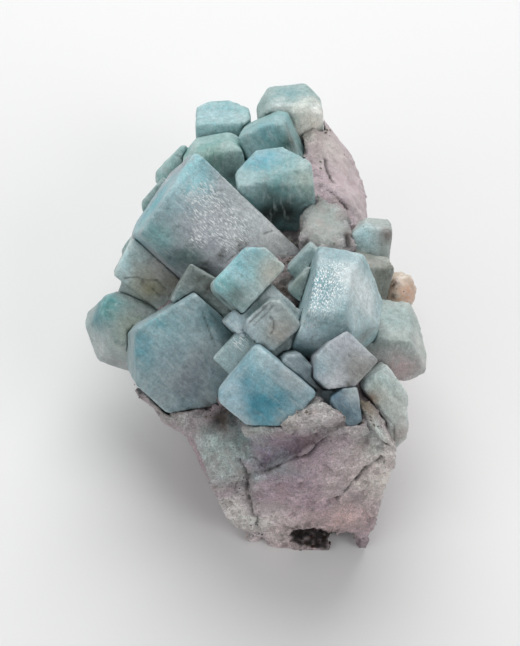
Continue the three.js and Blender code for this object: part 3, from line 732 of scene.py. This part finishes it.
for share, most, code in ((wear, 0.35, "#d6e0e0"), (crack_line, 0.6, "#2b2925")):
    share = add(amazonite, "Math", {0: share, 1: most}, operation="MULTIPLY").outputs[0]
    body = add(amazonite, "Mix", {0: share, 6: body, 7: linear(code)}, data_type="RGBA").outputs[2]
streak_place = add(amazonite, "VectorMath", {0: grown, 1: STREAKS_PER_MM}, operation="MULTIPLY").outputs[0]
streaks = add(amazonite, "TexNoise", {"Vector": streak_place, "Scale": 1.0, "Detail": 3.0, "Roughness": 0.6})
flaw_and_painted_flash = add(amazonite, "MapRange", {
    "Value": streaks.outputs["Fac"], "From Min": 0.52, "From Max": 0.59, "To Min": 0.0, "To Max": 1.0,
}).outputs[0]
flaw_and_painted_flash = add(amazonite, "Math", {0: flaw_and_painted_flash, 1: flaw_and_painted_glint}, operation="MULTIPLY").outputs[0]
# the flakes painted white: white cleavage flaws, and a painted highlight where they glint
body = add(amazonite, "Mix", {0: flaw_and_painted_flash, 6: body, 7: linear("#f8fcfc")}, data_type="RGBA").outputs[2]
stripe_bump = add(amazonite, "Bump", {
    "Height": stripes.outputs["Fac"], "Distance": 0.2 * MM, "Strength": 0.25,
}).outputs[0]
mottle_bump = add(amazonite, "Bump", {
    "Height": mottle.outputs["Fac"], "Distance": 0.3 * MM, "Strength": 0.5, "Normal": stripe_bump,
}).outputs[0]
grit_bump = add(amazonite, "Bump", {
    "Height": grit.outputs["Fac"], "Distance": 0.1 * MM, "Strength": 0.7, "Normal": mottle_bump,
}).outputs[0]
rough = add(amazonite, "MapRange", {
    "Value": mottle.outputs["Fac"], "From Min": 0.3, "From Max": 0.7, "To Min": 0.34, "To Max": 0.6,
}).outputs[0]
smooth_flake = add(amazonite, "Math", {0: flaw_and_painted_flash, 1: -0.2}, operation="MULTIPLY").outputs[0]
rough = add(amazonite, "Math", {0: rough, 1: smooth_flake}, operation="ADD").outputs[0]
for name, source in (("Base Color", body), ("Roughness", rough), ("Normal", grit_bump)):
    amazonite.node_tree.links.new(source, shader.inputs[name])
shader.inputs["IOR"].default_value = 1.53
shader.inputs["Subsurface Weight"].default_value = 0.12
shader.inputs["Subsurface Radius"].default_value = (0.8, 1.0, 1.0)
shader.inputs["Subsurface Scale"].default_value = 1.2 * MM

skins = []
for number, (name, (aim, softening, broken, ground, patches)) in enumerate(CRYSTALS.items()):
    piece = fine_skin(name, CRYSTAL_GRID, softening)
    points, normals = points_of(piece), normals_of(piece)
    bulge = convexity(piece, points, normals)
    own = points @ grown_axes(*aim).T
    close = gap_to(points, [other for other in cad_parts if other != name])
    crack_gap = np.min([line_gap(points, line) for line in CRACKS.values()], axis=0)
    steps = STEP_COUNT * cloud(own, size=(3.2, 3.2, 9), seed=number + 50)
    stepped = fade(cloud(own, size=5, seed=number + 100), start=-0.3 * broken, end=0.3)
    relief = STAND_OFF + WAVE * cloud(own, size=5, seed=number)
    relief += RIPPLE * cloud(own, size=1.8, seed=number + 300)
    relief += (STEP + BROKEN_STEP * broken) * stepped * (np.round(steps) - steps)
    if broken:
        relief += broken * (
            COARSE_CHIP * facets(own, size=2.2, seed=number)
            + FINE_CHIP * facets(own, size=1.0, seed=number + 20)
        )
    edge = fade(bulge, *CRYSTAL_EDGE)
    relief -= EDGE_CHIP * edge * fade(cloud(own, size=1.5, seed=number + 150), start=0.05, end=0.5)
    relief -= EDGE_NICK * edge * fade(cloud(own, size=0.7, seed=number + 350), start=0.0, end=0.5)
    relief -= CRYSTAL_PIT * fade(cloud(own, size=0.9, seed=number + 200), start=0.5, end=0.65)
    crack = np.exp(-(((crack_gap + CRACK_WIDTH * cloud(own, size=0.8, seed=7)) / CRACK_WIDTH) ** 2))
    relief -= CRACK_DEPTH * crack
    place(piece, points + normals * relief[:, None])
    keep(piece, "grown", own)
    keep(piece, "tint", zoned(points, ground, patches))
    keep(piece, "wear", edge * fade(cloud(own, size=1.8, seed=number + 250), start=-0.2, end=0.4))
    packed = np.exp(-close / SEAM_REACH) * fade(cloud(points, size=2.2, seed=60), start=-0.25, end=0.35)
    keep(piece, "grime", np.maximum(packed, near(points, DIRT.values())))
    keep(piece, "crack", crack)
    # where the flakes are painted white: white flaws and a painted highlight
    keep(piece, "flaw_and_painted_glint", np.minimum(1.6 * near(points, FLAWS_AND_PAINTED_GLINTS.values()), 1))
    finish_piece(piece, amazonite, name)
    skins.append((piece, close))

# The quartz grain in the right-hand edge: clear, tinted peach by iron, with a wet-looking broken surface
# and black specks of tourmaline where it meets the rock.
QUARTZ_GRID, QUARTZ_SOFTENING, QUARTZ_GROUND = 0.22, 3, "#ffe6cf"
# its broken surface's height, coarse and fine, and how far it is set back for that, in millimetres
SHELL_BREAK, SHELL_CHIP, SHELL_SET_BACK = 0.45, 0.12, 0.15
quartz = fine_skin("quartz_grain", QUARTZ_GRID, QUARTZ_SOFTENING)
points, normals = points_of(quartz), normals_of(quartz)
relief = SHELL_BREAK * facets(points, size=2.4, seed=7) + SHELL_CHIP * facets(points, size=1.0, seed=8)
relief -= SHELL_SET_BACK
place(quartz, points + normals * relief[:, None])
keep(quartz, "tint", zoned(points, QUARTZ_GROUND, {
    "pale top": ((404, 274), 2, "#fff3e0"), "peach foot": ((408, 296), 2.2, "#f0bd9f"),
    "stained edge": ((393, 284), 0.9, "#4a382c"), "stained edge, foot": ((393, 296), 0.7, "#4a382c"),
}))
# Quartz, clear but hazy, broken like glass: glossy, and a little light goes through it. Its haze is in clouds
# of 0.6 mm.
HAZE_PER_MM = 1.6
clear_quartz, shader = blank("peach_quartz")
tint = add(clear_quartz, "Attribute", {}, attribute_name="tint").outputs["Color"]
place_mm = add(clear_quartz, "VectorMath", {
    0: add(clear_quartz, "TexCoord", {}).outputs["Object"],
    "Scale": 1 / MM,
}, operation="SCALE").outputs[0]
speck = add(clear_quartz, "TexNoise", {"Vector": place_mm, "Scale": HAZE_PER_MM, "Detail": 4.0})
haze = add(clear_quartz, "MapRange", {
    "Value": speck.outputs["Fac"], "From Min": 0.4, "From Max": 0.65, "To Min": 0.0, "To Max": 0.6,
}).outputs[0]
body = add(clear_quartz, "Mix", {0: haze, 6: tint, 7: linear("#f6ece1")}, data_type="RGBA").outputs[2]
shell_bump = add(clear_quartz, "Bump", {
    "Height": speck.outputs["Fac"], "Distance": 0.3 * MM, "Strength": 0.6,
}).outputs[0]
for name, source in (("Base Color", body), ("Normal", shell_bump)):
    clear_quartz.node_tree.links.new(source, shader.inputs[name])
shader.inputs["Roughness"].default_value = 0.14
shader.inputs["IOR"].default_value = 1.544
shader.inputs["Transmission Weight"].default_value = 0.3
finish_piece(quartz, clear_quartz, "quartz_grain")

# Crumbs and grains: pale crumbs of feldspar caught between the crystals, shiny brown grains of iron-stained
# mica that line the hollow in the front, and black specks of tourmaline on the rim and beside the quartz.
FULL_TURN = (2 * math.pi,) * 3
# a crumb's least and greatest measures, as shares of its size
SMALLEST, LARGEST = (0.3,) * 3, (1,) * 3
# how closely its dents follow each other
DENTS = 2.3
# where black specks lie: the pixel and the reach in millimetres
SPECKLED = {
    "left rim": ((236, 487), 1.8), "left rim, right": ((244, 480), 1.2), "left rim, lower": ((252, 521), 1.2),
    "left rim, foot": ((258, 533), 1.0), "quartz": ((394, 284), 1.1), "quartz, foot": ((395, 296), 0.8),
    "below the broad crystal": ((205, 405), 1.4), "foot of the large crystal": ((206, 268), 0.8),
}

crumbs_on = bpy.data.node_groups.new("crumbs_on_surface", "GeometryNodeTree")
for name, kind in (
    ("Surface", "Geometry"), ("Crumb size", "Float"), ("Crumbs per area", "Float"), ("Seed", "Int"),
    ("Stone", "Material"),
):
    crumbs_on.interface.new_socket(name, in_out="INPUT", socket_type="NodeSocket" + kind)
crumbs_on.interface.new_socket("Crumbs", in_out="OUTPUT", socket_type="NodeSocketGeometry")


def grow(kind, inputs, **settings):
    """Adds a node to the crumbs' tree, as add does to a material."""
    made = crumbs_on.nodes.new(kind)
    for name, value in settings.items():
        setattr(made, name, value)
    for name, value in inputs.items():
        if isinstance(value, bpy.types.NodeSocket):
            crumbs_on.links.new(value, made.inputs[name])
        else:
            made.inputs[name].default_value = value
    return made


given = grow("NodeGroupInput", {}).outputs
crowding = grow("GeometryNodeInputNamedAttribute", {"Name": "crowding"}, data_type="FLOAT").outputs[0]
density = grow("ShaderNodeMath", {0: crowding, 1: given["Crumbs per area"]}, operation="MULTIPLY").outputs[0]
spots = grow("GeometryNodeDistributePointsOnFaces", {
    "Mesh": given["Surface"], "Density": density, "Seed": given["Seed"],
}).outputs["Points"]
ball = grow("GeometryNodeMeshIcoSphere", {"Radius": 0.5, "Subdivisions": 1}).outputs["Mesh"]
dents = grow("ShaderNodeTexNoise", {"Scale": DENTS}).outputs["Color"]
dents = grow("ShaderNodeVectorMath", {0: dents, 1: (0.5, 0.5, 0.5)}, operation="SUBTRACT").outputs[0]
crumb = grow("GeometryNodeSetPosition", {"Geometry": ball, "Offset": dents}).outputs[0]
turned = grow("FunctionNodeRandomValue", {0: (0, 0, 0), 1: FULL_TURN}, data_type="FLOAT_VECTOR").outputs[0]
shape = grow("FunctionNodeRandomValue", {0: SMALLEST, 1: LARGEST}, data_type="FLOAT_VECTOR").outputs[0]
sized = grow("ShaderNodeVectorMath", {0: shape, "Scale": given["Crumb size"]}, operation="SCALE").outputs[0]
laid = grow("GeometryNodeInstanceOnPoints", {
    "Points": spots, "Instance": crumb, "Rotation": turned, "Scale": sized,
}).outputs[0]
whole = grow("GeometryNodeRealizeInstances", {"Geometry": laid}).outputs[0]
stony = grow("GeometryNodeSetMaterial", {"Geometry": whole, "Material": given["Stone"]}).outputs[0]
grow("NodeGroupOutput", {"Crumbs": stony})


def scatter(name, hosts, size, per_mm2, seed, material):
    """Crumbs on some pieces, each given with how crowded they are at each of its points, 0 to 1.

    Their size is in millimetres, and per_mm2 is how many there are where they are most crowded.
    """
    joined = bmesh.new()
    for host, crowded in hosts:
        mesh = host.data.copy()
        stored = mesh.attributes.new("crowding", "FLOAT", "POINT")
        stored.data.foreach_set("value", np.asarray(crowded, dtype=np.float32))
        joined.from_mesh(mesh)
    ground = bpy.data.meshes.new(name)
    joined.to_mesh(ground)
    joined.free()
    piece = bpy.data.objects.new(name, ground)
    bpy.context.scene.collection.objects.link(piece)
    modifier = piece.modifiers.new("crumbs", "NODES")
    modifier.node_group = crumbs_on
    named = {item.name: item.identifier for item in crumbs_on.interface.items_tree if item.in_out == "INPUT"}
    modifier[named["Crumb size"]] = size * MM
    modifier[named["Crumbs per area"]] = per_mm2 / MM**2
    modifier[named["Seed"]] = seed
    modifier[named["Stone"]] = material
    bpy.context.view_layer.update()
    made = bpy.data.meshes.new_from_object(piece.evaluated_get(bpy.context.evaluated_depsgraph_get()))
    piece.modifiers.clear()
    piece.data = made
    place(piece, points_of(piece))
    finish_piece(piece, material)


def grain_matter(name, dark, light, rough):
    """A grain's material: its colour runs between two over a few tenths of a millimetre."""
    material, shader = blank(name)
    place_mm = add(material, "VectorMath", {
        0: add(material, "TexCoord", {}).outputs["Object"], "Scale": 1 / MM,
    }, operation="SCALE").outputs[0]
    spots = add(material, "TexNoise", {"Vector": place_mm, "Scale": 1.4, "Detail": 3.0}).outputs["Fac"]
    share = add(material, "MapRange", {"Value": spots, "From Min": 0.4, "From Max": 0.6}).outputs[0]
    body = add(material, "Mix", {0: share, 6: linear(dark), 7: linear(light)}, data_type="RGBA").outputs[2]
    material.node_tree.links.new(body, shader.inputs["Base Color"])
    shader.inputs["Roughness"].default_value = rough
    return material


rock_points = points_of(rock)
# dull, dusty feldspar, mica that iron has stained and that still shines, and glossy black tourmaline
pale_crumb = grain_matter("crumbled_feldspar", "#6d6456", "#b4bab4", rough=0.6)
brown_grain = grain_matter("iron_stained_mica", "#140a07", "#432416", rough=0.4)
black_speck = grain_matter("black_tourmaline", "#1d1a18", "#3a332d", rough=0.3)
in_clumps = fade(cloud(rock_points, size=3, seed=40), start=-0.1, end=0.3)
scatter(
    "crevice_crumbs", [(rock, np.exp(-near_crystal) * in_clumps)],
    size=0.7, per_mm2=1.0, seed=3, material=pale_crumb,
)
crowds = []
for piece, close in skins:
    in_clumps = fade(cloud(points_of(piece), size=3, seed=41), start=0.05, end=0.4)
    crowds.append((piece, np.exp(-close / SEAM_REACH) * in_clumps))
scatter(
    "seam_crumbs", crowds,
    size=0.35, per_mm2=0.9, seed=5, material=pale_crumb,
)
in_clumps = fade(cloud(rock_points, size=1.4, seed=42), start=-0.4, end=0.3)
scatter(
    "pocket_grains", [(rock, in_hollow * in_clumps)],
    size=0.9, per_mm2=1.6, seed=7, material=brown_grain,
)
scatter(
    "black_specks", [
        (host, near(places, SPECKLED.values()) * fade(cloud(places, size=1.0, seed=43), start=-0.1, end=0.3))
        for host, places in ((rock, rock_points), (quartz, points_of(quartz)))
    ],
    size=0.3, per_mm2=4.5, seed=9, material=black_speck,
)

# The table that the specimen stands on: a sheet of white card, matt, laid flat and much wider than the view.
# It is not a part of the specimen.
TABLE_HALF = 1500 * MM
CORNERS = ((-1, -1), (1, -1), (1, 1), (-1, 1))
table = bpy.data.objects.new("table", bpy.data.meshes.new("table"))
table.data.from_pydata([(x * TABLE_HALF, y * TABLE_HALF, 0) for x, y in CORNERS], [], [(0, 1, 2, 3)])
bpy.context.scene.collection.objects.link(table)
card, shader = blank("white_card")
shader.inputs["Base Color"].default_value = linear("#f1f1f0")
shader.inputs["Roughness"].default_value = 0.75
table.data.materials.append(card)

# Soft light: a pale room, a wide window above and behind, and a weaker one at each side of the front, the
# right one small enough to glint on the cleaved flakes. Each has its width in millimetres, its power in watts
# and where it stands, in millimetres.
room = bpy.data.worlds.new("room")
room.use_nodes = True
room.node_tree.nodes["Background"].inputs["Color"].default_value = linear("#f6f8fb")
room.node_tree.nodes["Background"].inputs["Strength"].default_value = 0.26
bpy.context.scene.world = room
bpy.context.scene.view_settings.view_transform = "Standard"
for name, wide, power, stands in (
    ("window", 800, 4.6, (0, 460, 540)),
    ("left_window", 700, 1.15, (-440, -380, 410)),
    ("right_window", 320, 0.85, (410, -330, 370)),
):
    light = bpy.data.objects.new(name, bpy.data.lights.new(name, "AREA"))
    light.data.shape = "DISK"
    light.data.size = wide * MM
    light.data.energy = power
    light.location = Vector(stands) * MM
    light.rotation_euler = (AIM - Vector(stands)).to_track_quat("-Z", "Y").to_euler()
    bpy.context.scene.collection.objects.link(light)
